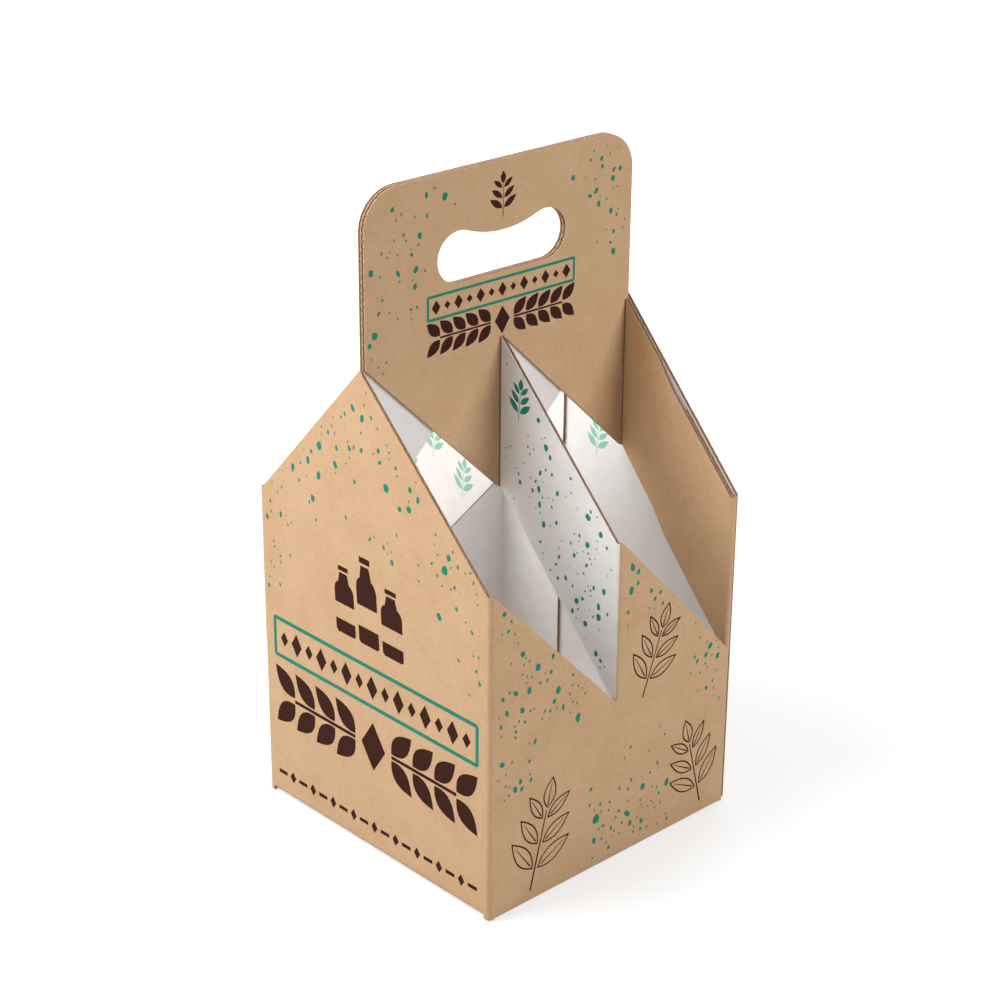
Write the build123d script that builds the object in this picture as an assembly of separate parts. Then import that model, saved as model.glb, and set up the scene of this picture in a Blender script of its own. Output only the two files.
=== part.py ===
from build123d import *
import os

# Four-bottle carrier of thin corrugated board, set up for use.
# Origin at the middle of the footprint, on the surface it stands on. X runs along the handle,
# Y across it, +Z up. The near side is -Y. The gables stand at both ends of the handle.
# One die-cut sheet is folded into the walls, the cross bands, the gable bands and both plies
# of the handle. A separate panel closes the right-hand end and is glued over two flaps.

# Driving dimensions, in millimetres
LENGTH = 130.0            # footprint along the handle
WIDTH = 130.0             # footprint across the handle
BOARD = 1.5               # thickness of the board
CREASE = 0.4              # inner radius of a fold
GLUE = 0.1                # glue line between two layers of the sheet

LOW_EDGE = 70.0           # lowest point of the side walls' stepped top edge
EAVE = 135.0              # height of the gables at the corners
PEAK = 200.0              # height of the gables at the handle
HANDLE_TOP = 266.0        # height of the handle
HANDLE_CORNER = 15.0      # radius of the handle's top corners

GRIP_DROP = 42.5          # hand hole's lower edge below the top of the handle
GRIP_HEIGHT = 20.0        # height of the hand hole at its two lobes
GRIP_SPREAD = 41.0        # distance between the centres of the lobes
GRIP_SAG = 4.0            # how far the upper edge dips between the lobes

FLAP = 35.0               # width of the glue flaps inside the end panel
FLAP_DROP = 1.0           # flap's top edge below the gable's slope
FLAP_CHAMFER = 6.0        # cut corner at the top of a glue flap
FLAP_LIFT = 2.0           # glue flap's lower edge above the bottom flap under it
BAND_BEND = 9.0           # length over which the gable band steps off its glue flap
BAND_TAPER = 4.0          # how much shallower a band is at the handle than at its wall

CORNER_SLOT = 3.0         # slot between neighbouring bottom flaps
SEAM_GAP = 1.0            # gap where two bottom flaps meet
END_INSET = 1.6           # end panel's upright edges inside the side walls

# Derived sizes
HALF_X = LENGTH / 2
HALF_Y = WIDTH / 2
GRIP_BOTTOM = HANDLE_TOP - GRIP_DROP  # lower edge of the hand hole
BEND = CREASE + BOARD                 # outer radius of a fold
PLY_GAP = GLUE / 2                    # each handle ply off the mid-plane
LAYER = BOARD + GLUE                  # pitch of two layers glued together
FLAP_FACE = HALF_X - BOARD            # outer face of the glue flaps, inner face of the end panel
BAND_FACE = FLAP_FACE - GLUE          # outer face of a gable band where it lies on its gable
CREASE_Y = HALF_Y - BEND              # where a gable's slope starts
SLOPE = (PEAK - EAVE) / CREASE_Y      # rise of a gable for each millimetre towards the handle
BAND_DEPTH = EAVE - LOW_EDGE          # height of a band at its wall, measured upright
INNER_FLOOR = LAYER                   # underside of the two inner bottom flaps
FLAP_FOOT = INNER_FLOOR + BOARD + FLAP_LIFT
FOOT = BOARD / 2                      # walls' raw lower edge at the corner slots
SLOT_Y = HALF_Y - CORNER_SLOT         # end of the inner bottom flaps' folds


def roof(y):
    """Height of the gable's slope at a distance y from the handle."""
    return PEAK - SLOPE * abs(y)


# Where a band's upright fold into the handle stands, and its lower and upper ends
BAND_END = -PLY_GAP - BEND
BAND_END_HIGH = roof(BAND_END)
BAND_END_LOW = BAND_END_HIGH - BAND_DEPTH + BAND_TAPER


def facing_y(outline, back, thickness=BOARD):
    """Flat panel across Y: (x, z) outline, from the plane y = back towards -Y."""
    face = make_face(Polyline(*outline, close=True).edges())
    return extrude(Plane.XZ.offset(-back) * face, thickness, dir=(0, -1, 0))


def facing_x(outline, front, thickness=BOARD):
    """Flat panel across X: (y, z) outline, from the plane x = front towards +X."""
    face = make_face(Polyline(*outline, close=True).edges())
    return extrude(Plane.YZ.offset(front) * face, thickness, dir=(1, 0, 0))


def bend_profile(start, sweep, inner):
    """Section of a fold: a ring sector about the origin, one board thick."""
    outer_arc = CenterArc((0, 0), inner + BOARD, start, sweep)
    inner_arc = CenterArc((0, 0), inner, start, sweep)
    sides = [Line(outer_arc @ k, inner_arc @ k) for k in (0, 1)]
    return make_face(Curve() + [outer_arc, inner_arc, *sides])


def upright_fold(x, y, start, bottom, top, sweep=90, inner=CREASE):
    """Fold about an upright line through (x, y), from bottom to top."""
    return Pos(x, y, bottom) * extrude(bend_profile(start, sweep, inner), top - bottom)


def half_turn(part):
    """Copy of a part turned half round the upright axis."""
    return Rot(0, 0, 180) * part


def slotted_foot(left, right, left_slot, right_slot, fold_line):
    """Lower edge of a wall, from left to right: on the fold line between its two slots."""
    return [
        (left, FOOT),
        (left_slot, FOOT),
        (left_slot, fold_line),
        (right_slot, fold_line),
        (right_slot, FOOT),
        (right, FOOT),
    ]


def side_wall(high_end, low_end, high_slot, low_slot):
    """Wall on the -Y side, with its stepped top edge, its bottom flap and its band's hinge.

    Its top falls from the eave at high_end to LOW_EDGE at mid-length, steps up and falls again
    to LOW_EDGE at low_end. Both ends are fold lines, and the bottom flap reaches from slot
    to slot.
    """
    hinge = -BOARD / 2 + BEND
    outline = [
        *slotted_foot(high_end, low_end, high_slot, low_slot, BEND),
        (low_end, LOW_EDGE),
        (hinge, EAVE),
        (hinge, LOW_EDGE),
        (-BOARD / 2, LOW_EDGE),
        (high_end, EAVE),
    ]
    wall = facing_y(outline, -HALF_Y + BOARD)
    wall += upright_fold(hinge, -CREASE_Y, 180, LOW_EDGE, EAVE)
    width = low_slot - high_slot
    wall += Pos(high_slot, -CREASE_Y, BEND) * extrude(Plane.YZ * bend_profile(180, 90, CREASE), width)
    reach = CREASE_Y - SEAM_GAP / 2
    wall += Pos(high_slot, -CREASE_Y, 0) * Box(width, reach, BOARD, align=Align.MIN)
    return wall


def inner_bottom_flap():
    """Bottom flap on the -X side, one layer above the outer ones, with its fold."""
    x = -HALF_X + BEND
    profile = Plane.XZ * bend_profile(180, 90, CREASE)
    fold = Pos(x, SLOT_Y, INNER_FLOOR + BEND) * extrude(profile, 2 * SLOT_Y)
    reach = -x - SEAM_GAP / 2
    flap = Pos(x, -SLOT_Y, INNER_FLOOR) * Box(reach, 2 * SLOT_Y, BOARD, align=Align.MIN)
    return fold + flap


def band_outline(start):
    """(y, z) outline of a band that climbs with the gable's slope, from start to the handle."""
    return [
        (start, roof(start) - BAND_DEPTH),
        (BAND_END, BAND_END_LOW),
        (BAND_END, BAND_END_HIGH),
        (start, roof(start)),
    ]


def cross_band():
    """Band from the -Y wall's hinge up to the handle, in the plane x = 0."""
    band = facing_x(band_outline(-CREASE_Y), -BOARD / 2)
    return band + upright_fold(BOARD / 2 - BEND, BAND_END, 0, BAND_END_LOW, BAND_END_HIGH)


def handle_ply():
    """Ply of the handle on the -Y side, with its two stepped lower edges and its end fold."""
    hinge_x = BOARD / 2 - BEND
    end_fold = BAND_FACE - BEND
    outline = [
        (-BAND_FACE, PEAK),
        (hinge_x, BAND_END_LOW),
        (hinge_x, BAND_END_HIGH),
        (BOARD / 2, BAND_END_HIGH),
        (end_fold, BAND_END_LOW),
        (end_fold, BAND_END_HIGH),
        (BAND_FACE, BAND_END_HIGH),
        (BAND_FACE, HANDLE_TOP),
        (-BAND_FACE, HANDLE_TOP),
    ]
    ply = facing_y(outline, -PLY_GAP)
    top_corners = ply.edges().filter_by(Axis.Y).group_by(Axis.Z)[-1]
    ply = fillet(top_corners, HANDLE_CORNER)
    return ply + upright_fold(end_fold, BAND_END, 0, BAND_END_LOW, BAND_END_HIGH)


def gable_band(path):
    """Band inside the +X gable, from the near corner to its fold into the handle.

    path lists (x, y) of the band's outer face. At the corner the band is turned back on the
    layer outside it, and it carries that layer as far as the wall's fold line.
    """
    inner_side = [(x - BOARD, y) for x, y in reversed(path)]
    section = make_face(Polyline(*path, *inner_side, close=True).edges())
    x, y = path[0]
    low = roof(y) - BAND_DEPTH
    lap = [(y, low), (-CREASE_Y, LOW_EDGE), (-CREASE_Y, EAVE), (y, roof(y))]
    band = extrude(section, PEAK) & facing_x(band_outline(y), 0, HALF_X)
    band += facing_x(lap, x + GLUE)
    return band + upright_fold(x + PLY_GAP, y, 180, low, roof(y), 180, PLY_GAP)


def glue_flap(side):
    """Glue flap inside the end panel, at the corner on the given side of Y, -1 or +1."""
    free = HALF_Y - FLAP
    cut = free + FLAP_CHAMFER
    outline = [
        (side * free, FLAP_FOOT),
        (side * CREASE_Y, FLAP_FOOT),
        (side * CREASE_Y, EAVE),
        (side * (CREASE_Y - FLAP_DROP), EAVE),
        (side * cut, roof(cut) - FLAP_DROP),
        (side * free, roof(cut) - FLAP_DROP - FLAP_CHAMFER),
    ]
    return facing_x(outline, FLAP_FACE - BOARD)


def hand_hole():
    """Cutter for the hand hole: two round lobes with a dip between them."""
    lobe = GRIP_HEIGHT / 2
    half = GRIP_SPREAD / 2
    middle = GRIP_BOTTOM + lobe
    dip = lobe - GRIP_SAG
    # The dip is an arc that touches both lobes from outside.
    sag_radius = (half**2 + dip**2 - lobe**2) / (2 * (lobe - dip))
    sag_centre = middle + dip + sag_radius
    reach = lobe / (lobe + sag_radius)
    touch = (half * (1 - reach), middle + (sag_centre - middle) * reach)
    outline = [
        Line((-half, GRIP_BOTTOM), (half, GRIP_BOTTOM)),
        ThreePointArc((half, GRIP_BOTTOM), (half + lobe, middle), touch),
        ThreePointArc(touch, (0, middle + dip), (-touch[0], touch[1])),
        ThreePointArc((-touch[0], touch[1]), (-half - lobe, middle), (-half, GRIP_BOTTOM)),
    ]
    return extrude(Plane.XZ * make_face(Curve() + outline), LAYER, both=True)


def carrier_blank():
    """The folded sheet: walls, left gable, bands, handle plies, glue flaps and bottom flaps."""
    gable_corner = HALF_X - BEND
    flap_corner = FLAP_FACE - BEND
    gable_slot = HALF_X - CORNER_SLOT
    flap_slot = FLAP_FACE - CORNER_SLOT
    turn_y = HALF_Y - BOARD - PLY_GAP      # centre of the bands' turn at their corners

    # Walls, the left gable and the corners between them
    sheet = side_wall(-gable_corner, flap_corner, -gable_slot, flap_slot)
    sheet += half_turn(side_wall(-flap_corner, gable_corner, -flap_slot, gable_slot))
    gable = [
        *slotted_foot(-CREASE_Y, CREASE_Y, -SLOT_Y, SLOT_Y, INNER_FLOOR + BEND),
        (CREASE_Y, EAVE),
        (0, PEAK),
        (-CREASE_Y, EAVE),
    ]
    sheet += facing_x(gable, -HALF_X) + inner_bottom_flap()
    sheet += upright_fold(-gable_corner, -CREASE_Y, 180, FOOT, EAVE)
    sheet += upright_fold(-gable_corner, CREASE_Y, 90, FOOT, LOW_EDGE)
    sheet += upright_fold(flap_corner, -CREASE_Y, 270, FOOT, LOW_EDGE)
    sheet += upright_fold(flap_corner, CREASE_Y, 0, FOOT, EAVE)
    sheet += glue_flap(-1) + glue_flap(1)

    # Cross bands and handle plies, each pair alike after half a turn
    upper = cross_band() + handle_ply() - hand_hole()
    sheet += upper + half_turn(upper)

    # Gable bands: the near one steps off its glue flap, the far one lies flat on its gable
    free = HALF_Y - FLAP
    on_flap = BAND_FACE - BOARD
    sheet += gable_band([
        (on_flap, -turn_y),
        (on_flap, -free),
        (BAND_FACE, BAND_BEND - free),
        (BAND_FACE, BAND_END),
    ])
    sheet += half_turn(gable_band([(BAND_FACE, -turn_y), (BAND_FACE, BAND_END)]))
    return sheet


def end_panel():
    """The right gable, with its inner bottom flap."""
    edge = HALF_Y - END_INSET
    outline = [
        *slotted_foot(-edge, edge, -SLOT_Y, SLOT_Y, INNER_FLOOR + BEND),
        (edge, roof(edge)),
        (0, PEAK),
        (-edge, roof(edge)),
    ]
    return facing_x(outline, FLAP_FACE) + half_turn(inner_bottom_flap())


os.makedirs("parts", exist_ok=True)
for name, build in (("carrier_blank", carrier_blank), ("end_panel", end_panel)):
    export_step(build(), f"parts/{name}.step")
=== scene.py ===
import math
import random

import bmesh
import bpy
from mathutils import Matrix, Quaternion, Vector


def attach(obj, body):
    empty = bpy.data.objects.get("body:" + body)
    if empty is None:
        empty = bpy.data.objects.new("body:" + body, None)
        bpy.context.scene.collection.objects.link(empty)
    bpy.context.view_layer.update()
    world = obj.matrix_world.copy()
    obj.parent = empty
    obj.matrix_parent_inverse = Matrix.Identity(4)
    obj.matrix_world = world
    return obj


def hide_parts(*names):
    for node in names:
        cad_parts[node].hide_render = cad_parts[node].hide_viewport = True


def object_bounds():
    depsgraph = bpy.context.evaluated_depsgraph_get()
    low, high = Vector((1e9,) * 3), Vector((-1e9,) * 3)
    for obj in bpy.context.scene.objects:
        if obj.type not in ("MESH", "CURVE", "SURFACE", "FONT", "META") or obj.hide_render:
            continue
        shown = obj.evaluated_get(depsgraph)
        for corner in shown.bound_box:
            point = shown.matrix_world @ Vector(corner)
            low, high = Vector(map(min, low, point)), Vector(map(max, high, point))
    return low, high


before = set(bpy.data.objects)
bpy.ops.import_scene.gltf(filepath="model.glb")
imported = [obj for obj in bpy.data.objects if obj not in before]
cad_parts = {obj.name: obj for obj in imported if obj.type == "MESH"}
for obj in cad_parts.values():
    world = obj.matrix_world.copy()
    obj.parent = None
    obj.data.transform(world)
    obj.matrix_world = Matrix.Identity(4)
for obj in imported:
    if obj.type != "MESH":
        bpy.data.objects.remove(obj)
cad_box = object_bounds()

# Dressed model of a four-bottle carrier. The solid board of the CAD model is replaced by board
# that is built up as real board is: a kraft liner, a fluted medium and a white liner.
# Sizes are in millimetres, and each finished mesh is scaled to metres.

METRES = 0.001
HALF_X = cad_box[1].x / METRES
HALF_Y = cad_box[1].y / METRES
HANDLE_TOP = cad_box[1].z / METRES

# Sizes of the folded sheet, as in the CAD model
BOARD = 1.5
CREASE = 0.4
GLUE = 0.1
LOW_EDGE = 70.0
EAVE = 135.0
PEAK = 200.0
HANDLE_CORNER = 15.0
GRIP_DROP = 42.5
GRIP_HEIGHT = 20.0
GRIP_SPREAD = 41.0
GRIP_SAG = 4.0
FLAP = 35.0
FLAP_DROP = 1.0
FLAP_CHAMFER = 6.0
FLAP_LIFT = 2.0
BAND_BEND = 9.0
BAND_TAPER = 4.0
CORNER_SLOT = 3.0
SEAM_GAP = 1.0
END_INSET = 1.6

BEND = CREASE + BOARD                   # outer radius of a fold
PLY_GAP = GLUE / 2                      # each handle ply off the mid-plane
FLAP_FACE = HALF_X - BOARD              # outer face of the glue flaps
BAND_FACE = FLAP_FACE - GLUE            # outer face of a gable band where it lies on its gable
CREASE_Y = HALF_Y - BEND                # where the gables turn into their folds
SLOPE = (PEAK - EAVE) / CREASE_Y
BAND_DEPTH = EAVE - LOW_EDGE
INNER_FLOOR = BOARD + GLUE              # height of the inner bottom flaps
FLAP_FOOT = INNER_FLOOR + BOARD + FLAP_LIFT
FOOT = BOARD / 2                        # foot of a wall beside its slots
SLOT_Y = HALF_Y - CORNER_SLOT
TURN_Y = HALF_Y - BOARD - PLY_GAP       # centre of the bands' turn at their corners
FREE_Y = HALF_Y - FLAP                  # free edge of the glue flaps

# The board's own make-up
INK = 0.02                              # depth of the paper under the face, which the ink fills
LINER = 0.28
MEDIUM = 0.18
KRAFT_DEPTH = INK + LINER / 2           # middle of the kraft liner, under the board's face
WHITE_DEPTH = BOARD - KRAFT_DEPTH
FLUTE_PITCH = 3.0
FLUTE_RISE = (WHITE_DEPTH - KRAFT_DEPTH - LINER - MEDIUM) / 2
CRUSH = 3.0                             # stretch beside a bottom fold where the waves are flattened
UPRIGHT = 0.1                           # the most that the normal of an upright panel leans

# How finely the layers are cut
FLUTE_STEPS = 6                         # rows in one wave
FOLD_STEPS = 6                          # faces in a right-angled fold
CORNER_STEPS = 12                       # faces in a rounded corner
LOBE_STEPS = 20                         # and in a round end of the handle's holes
COLUMN = 13.0                           # width of the columns along the waves
MERGE = 0.002                           # points closer than this are joined
SHARP = math.radians(40)

# The handle stands a little turned, as in the photograph: how far its two ends are off the middle
LEFT_END_OFF = 4.6
RIGHT_END_OFF = -2.7


def roof(y):
    """Height of the gable's slope at a distance y from the handle."""
    return PEAK - SLOPE * abs(y)


BAND_END = -PLY_GAP - BEND
BAND_END_HIGH = roof(BAND_END)
BAND_END_LOW = BAND_END_HIGH - BAND_DEPTH + BAND_TAPER
# Places where every panel is cut, across Y and by height, so that it bends and turns cleanly there
KEY_PLACES = {
    1: (-FREE_Y, BAND_BEND - FREE_Y),
    2: (FOOT, BEND, INNER_FLOOR + BEND, FLAP_FOOT, LOW_EDGE, EAVE, BAND_END_LOW, BAND_END_HIGH,
        PEAK),
}
# The faces of the cross bands that are printed white: how far off the middle they lie, and from
# where to where they reach
CROSS_FACE_OFF = 1.0
CROSS_FACE_REACH = (BEND - GLUE, HALF_Y - BOARD / 2)


def arc(centre, radius, start, sweep, steps):
    """Points along an arc, both ends included, with angles in degrees."""
    turns = [math.radians(start + sweep * k / steps) for k in range(steps + 1)]
    return [(centre[0] + radius * math.cos(t), centre[1] + radius * math.sin(t)) for t in turns]


def cut(bm, faces, axis, levels):
    """Cuts faces at each level along an axis. Halving the list keeps each cut to few faces."""
    if not levels or not faces:
        return
    middle = levels[len(levels) // 2]
    place, normal = Vector(), Vector()
    place[axis] = middle
    normal[axis] = 1
    edges = {e for f in faces for e in f.edges}
    verts = {v for f in faces for v in f.verts}
    made = bmesh.ops.bisect_plane(
        bm, geom=[*verts, *edges, *faces], dist=MERGE / 10, plane_co=place, plane_no=normal)
    sides = ([], [])
    for face in made["geom"]:
        if isinstance(face, bmesh.types.BMFace):
            sides[face.calc_center_median()[axis] > middle].append(face)
    cut(bm, sides[0], axis, levels[:len(levels) // 2])
    cut(bm, sides[1], axis, levels[len(levels) // 2 + 1:])


def steps_between(low, high, step):
    """Multiples of step inside a range."""
    first = math.floor(low / step) + 1
    return [k * step for k in range(first, math.ceil(high / step))]


class Sheet:
    """One layer of the board, as a surface at a fixed depth under the kraft face.

    Each panel and fold is made and cut in a small mesh of its own. turn is 1 for a place as
    given, or -1 for the place half a turn round the upright axis.
    """

    def __init__(self, depth, row):
        self.bm = bmesh.new()
        self.depth = depth
        self.row = row

    def add(self, part, axes, change=None):
        """Cuts a part into columns and rows, along the two axes, and adds it to the layer."""
        for axis, step in zip(axes, (COLUMN, self.row)):
            if axis is None:
                continue
            places = [v.co[axis] for v in part.verts]
            low, high = min(places), max(places)
            levels = set(steps_between(low, high, step))
            levels |= {place for place in KEY_PLACES.get(axis, ()) if low < place < high}
            cut(part, list(part.faces), axis, sorted(levels))
        if change:
            for v in part.verts:
                v.co += change(v.co)
        holder = bpy.data.meshes.new("part")
        part.to_mesh(holder)
        part.free()
        self.bm.from_mesh(holder)
        bpy.data.meshes.remove(holder)

    def panel(self, outline, axes, hole=(), change=None):
        """Flat panel from the points of its outline, and of a hole in it."""
        part = bmesh.new()
        rings = [[part.verts.new(p) for p in ring] for ring in (outline, hole) if ring]
        if hole:
            edges = [part.edges.new((ring[k - 1], ring[k]))
                     for ring in rings for k in range(len(ring))]
            bmesh.ops.triangle_fill(part, edges=edges, use_beauty=True)
        else:
            part.faces.new(rings[0])
        self.add(part, axes, change)

    def across_y(self, outline, kraft_y, turn=1, hole=()):
        """Flat panel across Y, from its (x, z) outline. The board lies beyond kraft_y."""
        y = kraft_y + self.depth
        rings = [[(x * turn, y * turn, z) for x, z in ring] for ring in (outline, hole)]
        self.panel(rings[0], (0, 2), rings[1])

    def across_x(self, outline, kraft_x, inward=1, turn=1, change=None):
        """Flat panel across X, from its (y, z) outline. The board lies inward of kraft_x."""
        x = kraft_x + inward * self.depth
        self.panel([(x * turn, y * turn, z) for y, z in outline], (1, 2), change=change)

    def level(self, x_span, y_span, kraft_z, flute_axis):
        """Flat panel that lies on the floor or on the panel below it."""
        z = kraft_z + self.depth
        corners = [(x_span[0], y_span[0], z), (x_span[1], y_span[0], z),
                   (x_span[1], y_span[1], z), (x_span[0], y_span[1], z)]
        self.panel(corners, (1 - flute_axis, flute_axis))

    def spin(self, ends, centre, axis, sweep, axes):
        """Fold: the line between two points, spun about an axis."""
        part = bmesh.new()
        verts = [part.verts.new(p) for p in ends]
        edge = part.edges.new(verts)
        bmesh.ops.spin(part, geom=[*verts, edge], cent=centre, axis=axis,
                       angle=math.radians(sweep), steps=FOLD_STEPS * sweep // 90)
        self.add(part, axes)

    def upright_fold(self, x, y, start, bottom, top, sweep=90, inner=CREASE,
                     kraft_outside=True, turn=1):
        """Fold about an upright line through (x, y)."""
        radius = inner + (BOARD - self.depth if kraft_outside else self.depth)
        angle = math.radians(start)
        foot_x = (x + radius * math.cos(angle)) * turn
        foot_y = (y + radius * math.sin(angle)) * turn
        ends = [(foot_x, foot_y, z) for z in (bottom, top)]
        self.spin(ends, (x * turn, y * turn, 0), (0, 0, 1), sweep, (None, 2))

    def bottom_fold(self, span, along, line, height, side):
        """Fold between a wall and its bottom flap. line is the fold's centre on the other axis."""
        centre = Vector((0, 0, height))
        centre[1 - along] = line
        ends = [centre.copy() for place in span]
        for end, place in zip(ends, span):
            end[along] = place
            end[1 - along] += side * (CREASE + BOARD - self.depth)
        axis = Vector()
        axis[along] = -side if along == 0 else side
        self.spin(ends, centre, axis, 90, (along, None))

    def join(self):
        """Joins the panels and folds into one surface, with its normals towards the kraft side."""
        bm = self.bm
        bmesh.ops.remove_doubles(bm, verts=bm.verts, dist=MERGE)
        bmesh.ops.recalc_face_normals(bm, faces=bm.faces)
        # The outermost face across X, and the largest of those that tie
        probe = max(bm.faces, key=lambda f: abs(f.calc_center_median().x) + f.calc_area() * 1e-3)
        if probe.normal.x * probe.calc_center_median().x < 0:
            bmesh.ops.reverse_faces(bm, faces=bm.faces)
        bm.normal_update()
        return bm


def slotted_foot(left, right, left_slot, right_slot, fold_line):
    """Lower edge of a wall, from left to right: on the fold line between its two slots."""
    return [(left, FOOT), (left_slot, FOOT), (left_slot, fold_line),
            (right_slot, fold_line), (right_slot, FOOT), (right, FOOT)]


def side_wall(sheet, high_end, low_end, high_slot, low_slot, turn=1):
    """Wall on the -Y side, its bottom flap and its band's hinge."""
    hinge = -BOARD / 2 + BEND
    outline = [*slotted_foot(high_end, low_end, high_slot, low_slot, BEND),
               (low_end, LOW_EDGE), (hinge, EAVE), (hinge, LOW_EDGE), (-BOARD / 2, LOW_EDGE),
               (high_end, EAVE)]
    sheet.across_y(outline, -HALF_Y, turn)
    sheet.upright_fold(hinge, -CREASE_Y, 180, LOW_EDGE, EAVE, turn=turn)
    span = sorted((high_slot * turn, low_slot * turn))
    sheet.bottom_fold(span, 0, -CREASE_Y * turn, BEND, -turn)
    sheet.level(span, sorted((-CREASE_Y * turn, -SEAM_GAP / 2 * turn)), 0, 1)


def inner_bottom_flap(sheet, turn=1):
    """Bottom flap on the -X side, one layer above the outer ones, with its fold."""
    x = -HALF_X + BEND
    span = (-SLOT_Y, SLOT_Y)
    sheet.bottom_fold(span, 1, x * turn, INNER_FLOOR + BEND, -turn)
    sheet.level(sorted((x * turn, -SEAM_GAP / 2 * turn)), span, INNER_FLOOR, 0)


def band_outline(start):
    """(y, z) outline of a band that climbs with the gable's slope, from start to the handle."""
    return [(start, roof(start) - BAND_DEPTH), (BAND_END, BAND_END_LOW),
            (BAND_END, BAND_END_HIGH), (start, roof(start))]


def hand_hole():
    """(x, z) outline of the hand hole: two round lobes with a dip between them."""
    lobe = GRIP_HEIGHT / 2
    half = GRIP_SPREAD / 2
    middle = HANDLE_TOP - GRIP_DROP + lobe
    dip = lobe - GRIP_SAG
    sag_radius = (half**2 + dip**2 - lobe**2) / (2 * (lobe - dip))
    sag_centre = middle + dip + sag_radius
    lean = math.degrees(math.atan2(sag_centre - middle, half))
    right = arc((half, middle), lobe, -90, 270 - lean, LOBE_STEPS)
    dip_arc = arc((0, sag_centre), sag_radius, -lean, 2 * lean - 180, CORNER_STEPS)
    left = arc((-half, middle), lobe, lean, 270 - lean, LOBE_STEPS)
    return [*right, *dip_arc[1:-1], *left]


def handle_ply(sheet, turn):
    """Ply of the handle on the -Y side, with its folds."""
    hinge_x = BOARD / 2 - BEND
    end_fold = BAND_FACE - BEND
    arm = BAND_FACE - HANDLE_CORNER
    top = HANDLE_TOP - HANDLE_CORNER
    outline = [(-BAND_FACE, PEAK), (hinge_x, BAND_END_LOW), (hinge_x, BAND_END_HIGH),
               (BOARD / 2, BAND_END_HIGH), (end_fold, BAND_END_LOW), (end_fold, BAND_END_HIGH),
               (BAND_FACE, BAND_END_HIGH),
               *arc((arm, top), HANDLE_CORNER, 0, 90, CORNER_STEPS),
               *arc((-arm, top), HANDLE_CORNER, 90, 90, CORNER_STEPS)]
    sheet.across_y(outline, -PLY_GAP - BOARD, turn, hole=hand_hole())
    for x in (hinge_x, end_fold):
        sheet.upright_fold(x, BAND_END, 0, BAND_END_LOW, BAND_END_HIGH,
                           kraft_outside=False, turn=turn)


def gable_band(sheet, start_face, turn=1):
    """Band inside a gable. It steps from start_face at its corner out to the gable."""
    step = BAND_FACE - start_face

    def step_in(place):
        inward = -place.y * turn - (FREE_Y - BAND_BEND)
        return Vector((-step * turn * min(max(inward / BAND_BEND, 0), 1), 0, 0))

    sheet.across_x(band_outline(-TURN_Y), BAND_FACE - BOARD, turn=turn, change=step_in)
    high = roof(TURN_Y)
    low = high - BAND_DEPTH
    sheet.upright_fold(start_face + PLY_GAP, -TURN_Y, 180, low, high, 180, PLY_GAP, turn=turn)
    lap = [(-TURN_Y, low), (-CREASE_Y, LOW_EDGE), (-CREASE_Y, EAVE), (-TURN_Y, high)]
    sheet.across_x(lap, start_face + GLUE + BOARD, inward=-1, turn=turn)


def glue_flap(sheet, side):
    """Glue flap inside the end panel, at the corner on the given side of Y, -1 or +1."""
    chamfer_y = FREE_Y + FLAP_CHAMFER
    top = roof(chamfer_y) - FLAP_DROP
    outline = [(side * FREE_Y, FLAP_FOOT), (side * CREASE_Y, FLAP_FOOT), (side * CREASE_Y, EAVE),
               (side * (CREASE_Y - FLAP_DROP), EAVE), (side * chamfer_y, top),
               (side * FREE_Y, top - FLAP_CHAMFER)]
    sheet.across_x(outline, FLAP_FACE, inward=-1)


def carrier_blank(depth, row):
    """The folded sheet at one depth: walls, left gable, bands, plies, glue and bottom flaps."""
    sheet = Sheet(depth, row)
    gable_corner = HALF_X - BEND
    flap_corner = FLAP_FACE - BEND
    gable_slot = HALF_X - CORNER_SLOT
    flap_slot = FLAP_FACE - CORNER_SLOT
    side_wall(sheet, -gable_corner, flap_corner, -gable_slot, flap_slot)
    side_wall(sheet, -flap_corner, gable_corner, -flap_slot, gable_slot, turn=-1)
    gable = [*slotted_foot(-CREASE_Y, CREASE_Y, -SLOT_Y, SLOT_Y, INNER_FLOOR + BEND),
             (CREASE_Y, EAVE), (0, PEAK), (-CREASE_Y, EAVE)]
    sheet.across_x(gable, -HALF_X)
    inner_bottom_flap(sheet)
    sheet.upright_fold(-gable_corner, -CREASE_Y, 180, FOOT, EAVE)
    sheet.upright_fold(-gable_corner, CREASE_Y, 90, FOOT, LOW_EDGE)
    sheet.upright_fold(flap_corner, -CREASE_Y, 270, FOOT, LOW_EDGE)
    sheet.upright_fold(flap_corner, CREASE_Y, 0, FOOT, EAVE)
    for side in (-1, 1):
        glue_flap(sheet, side)
    for turn in (1, -1):
        sheet.across_x(band_outline(-CREASE_Y), -BOARD / 2, turn=turn)
        handle_ply(sheet, turn)
    gable_band(sheet, BAND_FACE - BOARD)
    gable_band(sheet, BAND_FACE, turn=-1)
    return sheet.join()


def end_panel(depth, row):
    """The right gable at one depth, with its inner bottom flap."""
    sheet = Sheet(depth, row)
    edge = HALF_Y - END_INSET
    outline = [*slotted_foot(-edge, edge, -SLOT_Y, SLOT_Y, INNER_FLOOR + BEND),
               (edge, roof(edge)), (0, PEAK), (-edge, roof(edge))]
    sheet.across_x(outline, HALF_X, inward=-1)
    inner_bottom_flap(sheet, turn=-1)
    return sheet.join()


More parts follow.
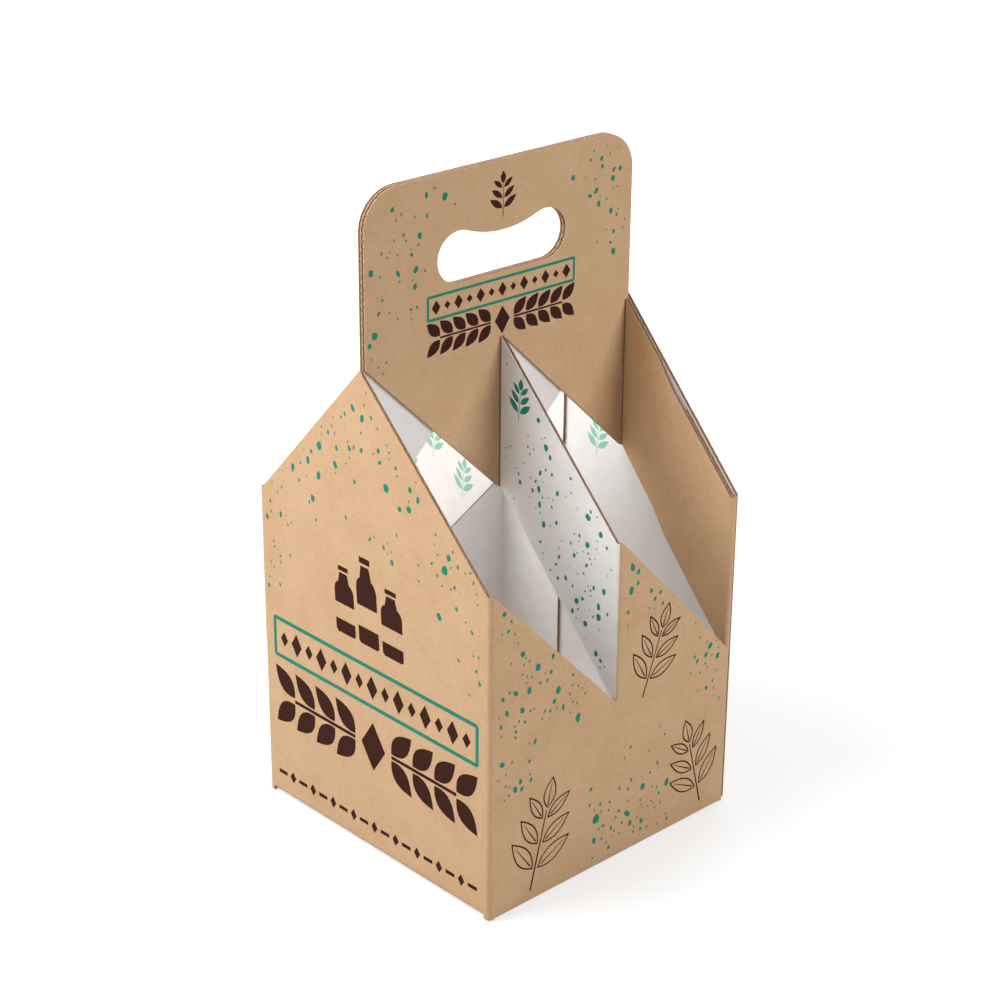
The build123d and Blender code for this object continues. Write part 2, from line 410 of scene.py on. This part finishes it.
def flute(bm):
    """Gives the medium its waves, flattened where the board is folded at the bottom."""
    moves = []
    for v in bm.verts:
        if v.co.z > INNER_FLOOR + BEND or abs(v.normal.z) < UPRIGHT:
            along, from_fold = v.co.z, v.co.z - BEND
        elif v.co.z < BOARD:
            along, from_fold = v.co.y, CREASE_Y - abs(v.co.y)
        else:
            along, from_fold = v.co.x, HALF_X - BEND - abs(v.co.x)
        rise = FLUTE_RISE * min(max(from_fold / CRUSH, 0), 1)
        moves.append(v.normal * rise * math.sin(2 * math.pi * along / FLUTE_PITCH))
    for v, move in zip(bm.verts, moves):
        v.co += move


def turned_handle(place):
    """Where a point goes as the handle turns and takes the bands and the gables' peaks along."""
    share = (place.x + HALF_X) / (2 * HALF_X)
    off = LEFT_END_OFF + share * (RIGHT_END_OFF - LEFT_END_OFF)
    inward = 1 - min(abs(place.y) / CREASE_Y, 1)
    upward = min(max((place.z - LOW_EDGE) / (BAND_END_LOW - LOW_EDGE), 0), 1)
    return Vector((place.x, place.y + off * inward * upward, min(place.z, HANDLE_TOP)))


def finished(name, bm, materials):
    """Object from a mesh in millimetres: turned with the handle, scaled, and riding on the root."""
    for v in bm.verts:
        v.co = turned_handle(v.co)
    bmesh.ops.scale(bm, vec=(METRES,) * 3, verts=bm.verts)
    mesh = bpy.data.meshes.new(name)
    bm.to_mesh(mesh)
    bm.free()
    piece = bpy.data.objects.new(name, mesh)
    bpy.context.scene.collection.objects.link(piece)
    for material in materials:
        mesh.materials.append(material)
    mesh.shade_smooth()
    mesh.set_sharp_from_angle(angle=SHARP)
    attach(piece, "root")
    return piece


def thicken(bm, thickness, materials, rim):
    """Turns a surface into a closed layer of even thickness, with the surface in its middle.

    Its back takes the last of the materials. rim counts the materials from the surface's own on
    to the one of the cut edges.
    """
    mesh = bpy.data.meshes.new("layer")
    bm.to_mesh(mesh)
    bm.free()
    for material in materials:
        mesh.materials.append(material)
    holder = bpy.data.objects.new("layer", mesh)
    bpy.context.scene.collection.objects.link(holder)
    solid = holder.modifiers.new("thickness", "SOLIDIFY")
    solid.thickness = thickness
    solid.offset = 0
    solid.use_even_offset = True
    solid.material_offset = len(materials) - 1
    solid.material_offset_rim = rim
    bpy.context.view_layer.update()
    shell = holder.evaluated_get(bpy.context.evaluated_depsgraph_get()).to_mesh()
    thick = bmesh.new()
    thick.from_mesh(shell)
    bpy.data.objects.remove(holder)
    bpy.data.meshes.remove(mesh)
    return thick


def on_cross_band(face):
    """True for the kraft liner's white print, on the outer side of the cross bands."""
    centre = face.calc_center_median()
    start, end = CROSS_FACE_REACH
    return abs(centre.x) < CROSS_FACE_OFF and start < abs(centre.y) < end


def in_painted_fold_shade(face):
    """True in the folds between handle and bands, which get painted shade on the kraft."""
    centre = face.calc_center_median()
    turn = -1 if centre.y > 0 else 1
    x, y = centre.x * turn, centre.y * turn
    beside = any(0 < x - line < BEND for line in (BOARD / 2 - BEND, BAND_FACE - BEND))
    ply_face = KRAFT_DEPTH - PLY_GAP - BOARD
    return beside and centre.z > LOW_EDGE and BAND_END < y < ply_face - MERGE


def build_board(name, make, finishes):
    """The three layers of one sheet of board, which stand for its CAD node."""
    kraft = make(KRAFT_DEPTH, COLUMN)
    # Faces in the folds between the handle and its bands take material 2: the kraft darkened as
    # painted shade
    for face in kraft.faces:
        face.material_index = 2 if in_painted_fold_shade(face) else int(on_cross_band(face))
    white = make(WHITE_DEPTH, COLUMN)
    bmesh.ops.reverse_faces(white, faces=white.faces)
    medium = make(BOARD / 2, FLUTE_PITCH / FLUTE_STEPS)
    flute(medium)
    layers = {
        "kraft_liner": (kraft, LINER, ("kraft", "white", "painted_shade", "raw"), 0),
        "white_liner": (white, LINER, ("white", "raw"), 1),
        "medium": (medium, MEDIUM, ("raw",), 0),
    }
    for layer, (bm, thickness, papers, rim) in layers.items():
        materials = [finishes[paper] for paper in papers]
        piece = finished(f"{name}_{layer}", thicken(bm, thickness, materials, rim), materials)
        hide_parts(name)


class Finish:
    """A node material, with short calls for the nodes that the finishes share."""

    def __init__(self, name, roughness, specular=0.5):
        self.material = bpy.data.materials.new(name)
        self.material.use_nodes = True
        self.nodes = self.material.node_tree.nodes
        self.links = self.material.node_tree.links
        self.shader = self.nodes["Principled BSDF"]
        self.shader.inputs["Roughness"].default_value = roughness
        self.shader.inputs["Specular IOR Level"].default_value = specular
        self.place = self.nodes.new("ShaderNodeTexCoord").outputs["Object"]

    def node(self, kind, inputs, output=0, **settings):
        """Adds a node, sets or links its inputs, and gives one of its outputs."""
        node = self.nodes.new("ShaderNode" + kind)
        for key, value in settings.items():
            setattr(node, key, value)
        for key, value in inputs.items():
            if isinstance(value, bpy.types.NodeSocket):
                self.links.new(value, node.inputs[key])
            else:
                node.inputs[key].default_value = value
        return node.outputs[output]

    def noise(self, size, detail=3.0, stretch=(1, 1, 1), distortion=0.0):
        """Noise with features of a size in millimetres."""
        place = self.node("Mapping", {"Vector": self.place, "Scale": stretch})
        return self.node("TexNoise", {"Vector": place, "Scale": 1 / (size * METRES),
                                      "Detail": detail, "Distortion": distortion})

    def math(self, operation, a, b=0.0):
        return self.node("Math", {0: a, 1: b}, operation=operation)

    def blend(self, *parts):
        """Sum of values, each with its weight."""
        weighted = [self.math("MULTIPLY", value, weight) for value, weight in parts]
        total = weighted[0]
        for value in weighted[1:]:
            total = self.math("ADD", total, value)
        return total

    def between(self, value, low, high, to_low=0.0, to_high=1.0):
        """Value moved from one range to another, and held inside it."""
        return self.node("MapRange", {"Value": value, "From Min": low, "From Max": high,
                                      "To Min": to_low, "To Max": to_high})

    def ridge(self, noise):
        """Distance of a noise from its middle value, which is 0 along thin winding lines."""
        return self.math("ABSOLUTE", self.math("SUBTRACT", noise, 0.5))

    def mix_colours(self, factor, a, b):
        node = self.nodes.new("ShaderNodeMix")
        node.data_type = "RGBA"
        for socket, value in zip((node.inputs[0], node.inputs[6], node.inputs[7]), (factor, a, b)):
            if isinstance(value, bpy.types.NodeSocket):
                self.links.new(value, socket)
            else:
                socket.default_value = value
        return node.outputs[2]

    def colour(self, socket):
        self.links.new(socket, self.shader.inputs["Base Color"])

    def bump(self, height, strength, distance):
        """Bump of a height socket; distance is in millimetres."""
        normal = self.node("Bump", {
            "Height": height, "Strength": strength, "Distance": distance * METRES})
        self.links.new(normal, self.shader.inputs["Normal"])

    def waves(self):
        """Height of the flutes under a liner, from 0 to 1, on the upright panels."""
        height = self.node("SeparateXYZ", {"Vector": self.place}, output="Z")
        turns = self.math("MULTIPLY", height, 2 * math.pi / (FLUTE_PITCH * METRES))
        return self.between(self.math("SINE", turns), -1, 1)


KRAFT = (0.745, 0.48, 0.272, 1)
KRAFT_DARK = (0.60, 0.365, 0.19, 1)
KRAFT_PALE = (0.83, 0.575, 0.36, 1)
FIBRE_DARK = (0.36, 0.20, 0.10, 1)
WHITE = (0.95, 0.93, 0.915, 1)
WHITE_DULL = (0.92, 0.893, 0.873, 1)
RAW = (0.60, 0.39, 0.25, 1)
RAW_DARK = (0.42, 0.25, 0.15, 1)
TEAL = (0.020, 0.28, 0.20, 1)
MINT = (0.30, 0.64, 0.51, 1)
BROWN = (0.040, 0.0095, 0.0065, 1)


def kraft_finish(name, shade):
    """Unbleached paper: clouds, mottling, grain, dark fibres, a few scuffs and faint flutes."""
    finish = Finish(name, 0.85, 0.15)
    # shade scales every colour: 1 gives the kraft as it is, below 1 a copy darkened as painted
    # shade
    dark, middle, pale = (
        [channel * shade for channel in paper] for paper in (KRAFT_DARK, KRAFT, KRAFT_PALE))
    clouds = finish.noise(14.0, 2)
    mottling = finish.noise(1.6, 4, stretch=(1, 1, 1.5), distortion=0.6)
    grain = finish.noise(0.4, 5, distortion=1.0)
    tone = finish.blend((clouds, 0.3), (mottling, 0.42), (grain, 0.28))
    colour = finish.mix_colours(finish.between(tone, 0.38, 0.62), dark, pale)
    colour = finish.mix_colours(0.6, colour, middle)
    scuff = finish.between(finish.ridge(finish.noise(17.0, 1, distortion=0.8)), 0.004, 0.0)
    scuff_patch = finish.between(finish.noise(11.0, 1), 0.6, 0.66, 0.0, 0.28)
    fibre = finish.between(finish.ridge(finish.noise(2.2, 3, distortion=2.5)), 0.012, 0.0)
    fibre_patch = finish.between(finish.noise(1.1, 2), 0.6, 0.68, 0.0, 0.4)
    speck = finish.between(finish.noise(0.8, 2), 0.735, 0.76, 0.0, 0.45)
    scuff = finish.math("MULTIPLY", scuff, scuff_patch)
    fibre = finish.math("MULTIPLY", fibre, fibre_patch)
    for mark in (scuff, fibre, speck):
        colour = finish.mix_colours(mark, colour, FIBRE_DARK)
    finish.colour(colour)
    finish.bump(finish.blend((grain, 0.5), (finish.waves(), 0.35)), 0.35, 0.06)
    return finish.material


def white_finish():
    """White coated paper with a soft sheen."""
    finish = Finish("white_liner", 0.5, 0.4)
    clouds = finish.noise(7.0, 3)
    grain = finish.noise(0.35, 3)
    finish.colour(finish.mix_colours(finish.between(clouds, 0.35, 0.65), WHITE_DULL, WHITE))
    finish.bump(finish.blend((grain, 0.3), (finish.waves(), 0.35)), 0.25, 0.05)
    return finish.material


def raw_finish():
    """The coarse brown paper of the waves and of the board's cut edges."""
    finish = Finish("raw_paper", 0.9, 0.15)
    grain = finish.noise(0.5, 4)
    finish.colour(finish.mix_colours(finish.between(grain, 0.35, 0.65), RAW_DARK, RAW))
    finish.bump(grain, 0.4, 0.05)
    return finish.material


def ink_finish(name, ink, worn):
    """Flat printing ink. The grain of the paper shows through a little."""
    finish = Finish(name, 0.75, 0.1)
    grain = finish.noise(0.3, 4)
    thin = tuple(channel + (pale - channel) * worn for channel, pale in zip(ink, KRAFT_PALE))
    finish.colour(finish.mix_colours(finish.between(grain, 0.5, 0.72), ink, thin))
    finish.bump(grain, 0.2, 0.03)
    return finish.material


DROP_SIDES = 12
LEAF_SIDES = 24
LINE = 0.62         # width of the line of an outlined leaf
SPOT_LEAST = 0.42   # radius of the smallest spots
SPOT_RANGE = 1.2    # how much larger the largest are
SPOT_BIAS = 2.8     # higher for fewer large spots
SPOT_LENGTH = 1.2   # share of the radius along a spot
SPOT_WIDTH = (0.5, 0.85)
SPOT_LEAN = 0.35
SPOT_SWELL = (0.86, 1.14)
SPOT_MARGIN = 2     # room round a spot, in its own radius
SPOT_GAP = 0.8


class Print:
    """Flat shapes in one ink, drawn on a plane with x to the right and y up."""

    def __init__(self):
        self.bm = bmesh.new()

    def shape(self, points):
        face = self.bm.faces.new([self.bm.verts.new((x, y, 0)) for x, y in points])
        face.normal_update()
        return face

    def outline(self, face, line):
        """Leaves only a strip of even width along the edge of a face."""
        bmesh.ops.inset_region(
            self.bm, faces=[face], thickness=line, use_even_offset=True, use_boundary=True)
        bmesh.ops.delete(self.bm, geom=[face], context="FACES")

    def box(self, left, low, right, high):
        return self.shape([(left, low), (right, low), (right, high), (left, high)])

    def frame(self, left, low, right, high, line, corner):
        """Line round a box with small rounded corners."""
        corners = self.box(left, low, right, high).verts
        made = bmesh.ops.bevel(
            self.bm, geom=list(corners), offset=corner, offset_type="OFFSET", affect="VERTICES",
            segments=4, profile=0.5, material=-1)
        face = made["verts"][0].link_faces[0]
        face.normal_update()
        self.outline(face, line)

    def drop(self, centre, radius, squeeze, angle, rng):
        """Uneven round spot."""
        place = Matrix.Translation((*centre, 0)) @ Matrix.Rotation(angle, 4, "Z")
        made = bmesh.ops.create_circle(self.bm, cap_ends=True, radius=1, segments=DROP_SIDES)
        for v in made["verts"]:
            swell = radius * rng.uniform(*SPOT_SWELL)
            v.co = place @ Vector((v.co.x * swell * squeeze, v.co.y * swell, 0))

    def lozenge(self, centre, width, height):
        x, y = centre
        half, rise = width / 2, height / 2
        self.shape([(x - half, y), (x, y - rise), (x + half, y), (x, y + rise)])

    def leaf(self, base, length, width, angle, line=0.0):
        """Pointed leaf, or only its outline if line is given. angle is in degrees from upright."""
        turn = Matrix.Rotation(math.radians(-angle), 2)
        made = bmesh.ops.create_circle(self.bm, cap_ends=True, radius=1, segments=LEAF_SIDES)
        for v in made["verts"]:
            x, y = v.co.xy
            place = turn @ Vector((width / 2 * x * abs(x) * (1.1 - 0.25 * y), length * (1 + y) / 2))
            v.co = (*(place + Vector(base)), 0)
        if not line:
            return
        face = made["verts"][0].link_faces[0]
        face.normal_update()
        self.outline(face, line)
        low, high = length * 0.12, length * 0.8
        rib = [(-line / 2, low), (line / 2, low), (line / 5, high), (-line / 5, high)]
        self.shape([turn @ Vector(p) + Vector(base) for p in rib])

    def sprig(self, base, height, angle, pairs, line=0.0, spread=52):
        """Stem with pairs of leaves, each smaller than the pair below, and one leaf at its tip."""
        turn = Matrix.Rotation(math.radians(-angle), 2)
        stem = height * 0.72
        thick = max(line, height * 0.018)

        def at(x, y):
            return turn @ Vector((x, y)) + Vector(base)

        self.shape([at(-thick / 2, 0), at(thick / 2, 0), at(thick / 3, stem), at(-thick / 3, stem)])
        self.leaf(at(0, stem + thick), height - stem, height * 0.13, angle, line)
        for k in range(pairs):
            share = (k + 0.9) / pairs
            size = height * (0.46 - 0.16 * share)
            for side in (-1, 1):
                foot = at(side * thick * 1.4, stem * share * 0.93)
                self.leaf(foot, size, size * 0.34, angle + side * (spread - 8 * share), line)

    def bottle(self, x, low, width, height):
        """Bottle seen from the side, with a gap where its label is."""
        half = width / 2
        neck = width * 0.2
        body = low + height * 0.62
        label = (low + height * 0.2, low + height * 0.44)
        self.shape([(x - half, label[0]), (x - half, low + 1), (x - half + 1, low),
                    (x + half - 1, low), (x + half, low + 1), (x + half, label[0])])
        turns = [math.pi / 2 * k / 6 for k in range(6)]
        shoulder = [(x + neck + (half - neck) * math.cos(t) ** 0.9,
                     body + height * 0.14 * math.sin(t)) for t in turns]
        right = [(x + half, label[1]), *shoulder, (x + neck, low + height * 0.9)]
        self.shape([*right, *((2 * x - px, py) for px, py in reversed(right))])
        self.box(x - neck * 1.3, low + height * 0.93, x + neck * 1.3, low + height)

    def press(self, name, panel, ink):
        """Gives the shapes their thin body of ink and lays them on a panel."""
        bm = self.bm
        bmesh.ops.recalc_face_normals(bm, faces=bm.faces)
        for face in [f for f in bm.faces if f.normal.z < 0]:
            face.normal_flip()
        raised = bmesh.ops.extrude_face_region(bm, geom=list(bm.faces), use_keep_orig=True)
        top = {g for g in raised["geom"] if isinstance(g, bmesh.types.BMVert)}
        for v in bm.verts:
            v.co.z = INK if v in top else -INK
        bmesh.ops.recalc_face_normals(bm, faces=bm.faces)
        bmesh.ops.transform(bm, matrix=panel, verts=bm.verts)
        return finished(name, bm, [ink])


def on_panel(origin, right):
    """Matrix from a print's plane to an upright panel, with its origin at floor level."""
    right, up = Vector(right), Vector((0, 0, 1))
    normal = right.cross(up)
    turn = Matrix((right, up, normal)).transposed().to_4x4()
    return Matrix.Translation(Vector(origin) - normal * INK) @ turn


def inside(outline, point):
    """True if a point lies within an outline."""
    x, y = point
    crossings = 0
    for (ax, ay), (bx, by) in zip(outline, [*outline[1:], outline[0]]):
        if (ay > y) != (by > y) and x < ax + (bx - ax) * (y - ay) / (by - ay):
            crossings += 1
    return crossings % 2 == 1


def spatter(seed, outline, clusters, count, keep_out=(), fine=1.0):
    """Spots of ink inside an outline, in clusters of (x, y, spread), clear of each other."""
    rng = random.Random(seed)
    ink = Print()
    placed = []
    while len(placed) < count:
        x0, y0, spread = rng.choice(clusters)
        spot = (rng.gauss(x0, spread), rng.gauss(y0, spread))
        radius = (SPOT_LEAST + SPOT_RANGE * rng.random() ** SPOT_BIAS) * fine
        room = [(spot[0] + radius * SPOT_MARGIN * math.cos(t),
                 spot[1] + radius * SPOT_MARGIN * math.sin(t))
                for t in (math.pi / 2 * k for k in range(4))]
        blocked = any(left < spot[0] < right and low < spot[1] < high
                      for left, low, right, high in keep_out)
        near = any(math.dist(spot, other) < radius + size + SPOT_GAP for other, size in placed)
        if blocked or near or not all(inside(outline, corner) for corner in room):
            continue
        placed.append((spot, radius * SPOT_LENGTH))
        ink.drop(spot, radius * SPOT_LENGTH, rng.uniform(*SPOT_WIDTH), rng.gauss(0, SPOT_LEAN), rng)
    return ink


# Outlines that the spots stay inside, a little within the edges of their panels
GABLE = [(-CREASE_Y, 4), (CREASE_Y, 4), (CREASE_Y, EAVE - 1), (0, PEAK - 1), (-CREASE_Y, EAVE - 1)]
WALL = [(-62, 4), (61, 4), (61, LOW_EDGE + 1), (3, EAVE - 3), (3, LOW_EDGE - 1), (-1, LOW_EDGE - 1),
        (-62, EAVE - 2)]
PLY = [(-BAND_FACE, PEAK + 2), (-2, BAND_END_LOW + 4), (BAND_FACE - 4, BAND_END_LOW + 8),
       (BAND_FACE, HANDLE_TOP - 8), (BAND_FACE - 8, HANDLE_TOP), (8 - BAND_FACE, HANDLE_TOP),
       (-BAND_FACE, HANDLE_TOP - 8)]
BAND = [(CREASE_Y - 1, LOW_EDGE + 1), (CREASE_Y - 1, EAVE - 1), (4, BAND_END_HIGH - 3),
        (4, BAND_END_LOW + 3)]


def lozenges(ink, reach, pitch, height, large, small):
    """Row of lozenges, large and small by turns, up to reach steps on each side of the middle."""
    for k in range(-reach, reach + 1):
        ink.lozenge((k * pitch, height), *(small if k % 2 else large))


def garland(ink, width, middle, size):
    """Row of leaves in pairs that grow outwards from a lozenge in the middle."""
    ink.lozenge((0, middle), size * 0.66, size)
    first, leaf = size * 0.5, size * 0.76
    room = width / 2 - first - leaf * math.sin(math.radians(46))
    pairs = round(room / (size * 0.6))
    for side in (-1, 1):
        left, right = sorted((side * first, side * (first + room)))
        ink.box(left, middle - size * 0.035, right, middle + size * 0.035)
        for k in range(pairs + 1):
            foot = side * (first + room * k / pairs)
            for lift in (-1, 1):
                base = (foot, middle + lift * size * 0.07)
                ink.leaf(base, leaf, size * 0.36, side * (90 - lift * 44))


def gable_prints(name, panel, inks, seed):
    """Bottles, a frame with lozenges, a garland and a line of dashes, with spots above them."""
    brown, teal = Print(), Print()
    for x, height in ((-13.5, 28), (0, 36), (13.5, 28)):
        brown.bottle(x, 90, 11.5, height)
    teal.frame(-59, 64, 59, 82, 1.7, 1.6)
    lozenges(brown, 7, 7.5, 73, (6.2, 10), (4.4, 6.4))
    garland(brown, 117, 47.5, 21)
    pitch, height = 6.2, 11.7
    for k in range(-9, 10):
        if k % 2:
            brown.box(k * pitch - 2.5, height - 0.8, k * pitch + 2.5, height + 0.8)
        else:
            brown.lozenge((k * pitch, height), 3.6, 5.2)
    brown.press(name + "_brown_print", panel, inks["brown"])
    teal.press(name + "_teal_print", panel, inks["teal"])
    clusters = [(0, 186, 7), (-17, 173, 7), (17, 172, 7), (-33, 156, 7), (33, 155, 7),
                (-48, 140, 7), (48, 139, 7), (-58, 122, 6), (57, 122, 7), (-56, 106, 7),
                (57, 102, 6), (-2, 156, 15), (14, 132, 6)]
    spots = spatter(seed, GABLE, clusters, 112, [(-60, 60, 60, 86), (-21, 86, 21, 128)])
    spots.press(name + "_spots", panel, inks["teal"])


def handle_prints(name, panel, inks, seed):
    """A sprig above the hand hole and a garland and a frame under it, with spots at both ends."""
    brown, teal = Print(), Print()
    brown.sprig((0, 244.5), 17, 0, 3, spread=58)
    garland(brown, 71, 204.5, 11)
    teal.frame(-35.5, 211.5, 35.5, 221.5, 1.1, 1.0)
    lozenges(brown, 6, 5.2, 216.5, (4.0, 5.6), (2.8, 3.2))
    brown.press(name + "_brown_print", panel, inks["brown"])
    teal.press(name + "_teal_print", panel, inks["teal"])
    clusters = [(-52, 250, 9), (-54, 232, 9), (-56, 214, 8), (-40, 250, 9), (-44, 238, 8),
                (50, 252, 8), (56, 240, 6), (44, 246, 8), (56, 226, 5), (-58, 202, 4)]
    spots = spatter(seed, PLY, clusters, 70, [(-36, 196, 40, 246), (-12, 240, 12, 266)])
    spots.press(name + "_spots", panel, inks["teal"])


def wall_prints(name, panel, inks, seed):
    """Outlined sprigs that grow from the lower corners and the step, with spots between them."""
    brown = Print()
    brown.sprig((-44, 5), 46, 14, 3, LINE)
    brown.sprig((49, 6), 41, -14, 3, LINE)
    brown.sprig((14, 66), 38, 20, 3, LINE)
    brown.press(name + "_brown_print", panel, inks["brown"])
    clusters = [(-54, 118, 6), (-51, 104, 8), (-56, 84, 6), (-52, 68, 7), (-57, 52, 5),
                (-38, 92, 7), (-26, 80, 6), (8, 120, 5), (22, 106, 6), (38, 92, 6), (54, 76, 5),
                (52, 62, 6), (0, 20, 9), (14, 12, 8), (30, 14, 8), (20, 30, 9), (-6, 14, 6)]
    keep_out = [(-60, 0, -14, 50), (30, 6, 62, 46), (8, 64, 40, 102)]
    spots = spatter(seed, WALL, clusters, 160, keep_out, 1.12)
    spots.press(name + "_spots", panel, inks["teal"])


def band_prints(name, panel, inks, seed):
    """Spots on the white side of a cross band, and a sprig near the handle."""
    green = Print()
    green.sprig((11.5, 167), 17, 4, 3, spread=50)
    green.press(name + "_sprig", panel, inks["teal"])
    clusters = [(x, roof(x) - drop, 7) for x in (56, 46, 36, 26, 16, 8) for drop in (8, 22, 36, 50)]
    spots = spatter(seed, BAND, clusters, 100, [(3, 164, 21, 187)], 0.78)
    spots.press(name + "_spots", panel, inks["teal"])


def inner_prints(ink):
    """Pale sprigs on the white inner side of the far band, the end panel and the near wall."""
    left_view, far_view = (0, -1, 0), (-1, 0, 0)
    groups = (
        ("far_band_inner_sprigs", (-BOARD / 2, 0, 0), left_view, 6,
         ((-37, 137), (-20, 125), (-52, 122))),
        ("end_panel_inner_sprigs", (FLAP_FACE, 0, 0), left_view, 4, ((-13, 127), (16, 140))),
        ("near_wall_inner_sprigs", (0, BOARD - HALF_Y, 0), far_view, -5,
         ((36, 84), (-22, 88), (-36, 50), (28, 36))),
    )
    for name, origin, right, lean, feet in groups:
        sprigs = Print()
        for foot in feet:
            sprigs.sprig(foot, 17, lean, 3, spread=50)
        sprigs.press(name, on_panel(origin, right), ink)


# The second kraft finish is the same kraft darkened to 0.45: painted shade for the folds between
# the handle and its bands
finishes = {"kraft": kraft_finish("kraft_liner", 1.0), "white": white_finish(),
            "painted_shade": kraft_finish("kraft_painted_shade", 0.45), "raw": raw_finish()}
inks = {"teal": ink_finish("teal_ink", TEAL, 0.05), "mint": ink_finish("mint_ink", MINT, 0.15),
        "brown": ink_finish("brown_ink", BROWN, 0.03)}
build_board("carrier_blank", carrier_blank, finishes)
build_board("end_panel", end_panel, finishes)
for side, turn in (("near", 1), ("far", -1)):
    wall = on_panel((0, -turn * HALF_Y, 0), (turn, 0, 0))
    ply = on_panel((0, -turn * (PLY_GAP + BOARD), 0), (turn, 0, 0))
    band = on_panel((-turn * BOARD / 2, 0, 0), (0, -turn, 0))
    wall_prints(side + "_wall", wall, inks, 11 + turn)
    handle_prints(side + "_ply", ply, inks, 21 + turn)
    band_prints(side + "_band", band, inks, 31 + turn)
gable_prints("left_gable", on_panel((-HALF_X, 0, 0), (0, -1, 0)), inks, 41)
gable_prints("right_gable", on_panel((HALF_X, 0, 0), (0, 1, 0)), inks, 43)
inner_prints(inks["mint"])


# Camera at the photograph's viewing angle. It, the lamps and the floor are in metres.
CAMERA_PLACE = Vector((-0.6070, -0.6443, 0.5425))
CAMERA_AZIMUTH = math.radians(-43.30)
CAMERA_ELEVATION = math.radians(24.95)
CAMERA_ROLL = math.radians(0.46)
CAMERA_SENSOR = 36.0
CAMERA_LENS = 92.0
CAMERA_NEAR = 0.01

LAMP_AIM = Vector((0, 0, 0.1))
# Name, azimuth and elevation in degrees, distance, size and power
LAMPS = (
    ("key_low", -110, 35, 1.2, 0.6, 7),
    ("key_high", -122, 55, 1.2, 0.6, 10.5),
    ("front", 20, 15, 1.2, 0.6, 6.9),
    ("rear", 125, 45, 1.4, 0.9, 8),
)

FLOOR_SIZE = 12
FLOOR_GREY = 0.4
# The floor's own light near the carrier and far off, and the distances between which it rises
GLOW = (0.70, 0.92)
GLOW_REACH = (0.1, 0.6)
WORLD_LIGHT = 0.09


def direction(azimuth, elevation):
    """Unit vector from the object towards a place given by its azimuth and elevation."""
    level = math.cos(elevation)
    return Vector((math.sin(azimuth) * level, -math.cos(azimuth) * level, math.sin(elevation)))


def add_camera():
    data = bpy.data.cameras.new("camera")
    data.sensor_width = CAMERA_SENSOR
    data.lens = CAMERA_LENS
    data.clip_start = CAMERA_NEAR
    camera = bpy.data.objects.new("camera", data)
    bpy.context.scene.collection.objects.link(camera)
    camera.location = CAMERA_PLACE
    camera.rotation_mode = "QUATERNION"
    aim = (-direction(CAMERA_AZIMUTH, CAMERA_ELEVATION)).to_track_quat("-Z", "Y")
    camera.rotation_quaternion = aim @ Quaternion((0, 0, 1), CAMERA_ROLL)
    bpy.context.scene.camera = camera


def add_lamp(name, azimuth, elevation, distance, size, power):
    """Square soft light aimed at the middle of the carrier."""
    data = bpy.data.lights.new(name, "AREA")
    data.size = size
    data.energy = power
    lamp = bpy.data.objects.new(name, data)
    bpy.context.scene.collection.objects.link(lamp)
    towards = direction(math.radians(azimuth), math.radians(elevation))
    lamp.location = towards * distance + LAMP_AIM
    lamp.rotation_mode = "QUATERNION"
    lamp.rotation_quaternion = (-towards).to_track_quat("-Z", "Y")


def seen_directly(nodes, links):
    """Socket that is 1 for camera, glossy and transmission rays."""
    rays = nodes.new("ShaderNodeLightPath")
    total = rays.outputs["Is Camera Ray"]
    for name in ("Is Glossy Ray", "Is Transmission Ray"):
        either = nodes.new("ShaderNodeMath")
        either.operation = "MAXIMUM"
        links.new(total, either.inputs[0])
        links.new(rays.outputs[name], either.inputs[1])
        total = either.outputs[0]
    return total


def add_stage():
    """White floor and white surroundings."""
    bpy.ops.mesh.primitive_plane_add(size=FLOOR_SIZE)
    floor = bpy.context.object
    floor.name = "floor"
    finish = Finish("floor_white", 1.0, 0.0)
    nodes, links, shader = finish.nodes, finish.links, finish.shader
    shader.inputs["Base Color"].default_value = (FLOOR_GREY, FLOOR_GREY, FLOOR_GREY, 1)
    far = finish.node("VectorMath", {0: finish.place}, output="Value", operation="LENGTH")
    glow = finish.between(far, *GLOW_REACH, *GLOW)
    glow = finish.math("MULTIPLY", glow, seen_directly(nodes, links))
    shader.inputs["Emission Color"].default_value = (1, 1, 1, 1)
    links.new(glow, shader.inputs["Emission Strength"])
    floor.data.materials.append(finish.material)

    world = bpy.data.worlds.new("studio")
    bpy.context.scene.world = world
    world.use_nodes = True
    nodes, links = world.node_tree.nodes, world.node_tree.links
    background = nodes["Background"]
    background.inputs["Color"].default_value = (1, 1, 1, 1)
    strength = nodes.new("ShaderNodeMapRange")
    strength.inputs["To Min"].default_value = WORLD_LIGHT
    strength.inputs["To Max"].default_value = 1.0
    links.new(seen_directly(nodes, links), strength.inputs["Value"])
    links.new(strength.outputs["Result"], background.inputs["Strength"])


add_camera()
add_stage()
for lamp in LAMPS:
    add_lamp(*lamp)
bpy.context.scene.view_settings.view_transform = "Standard"
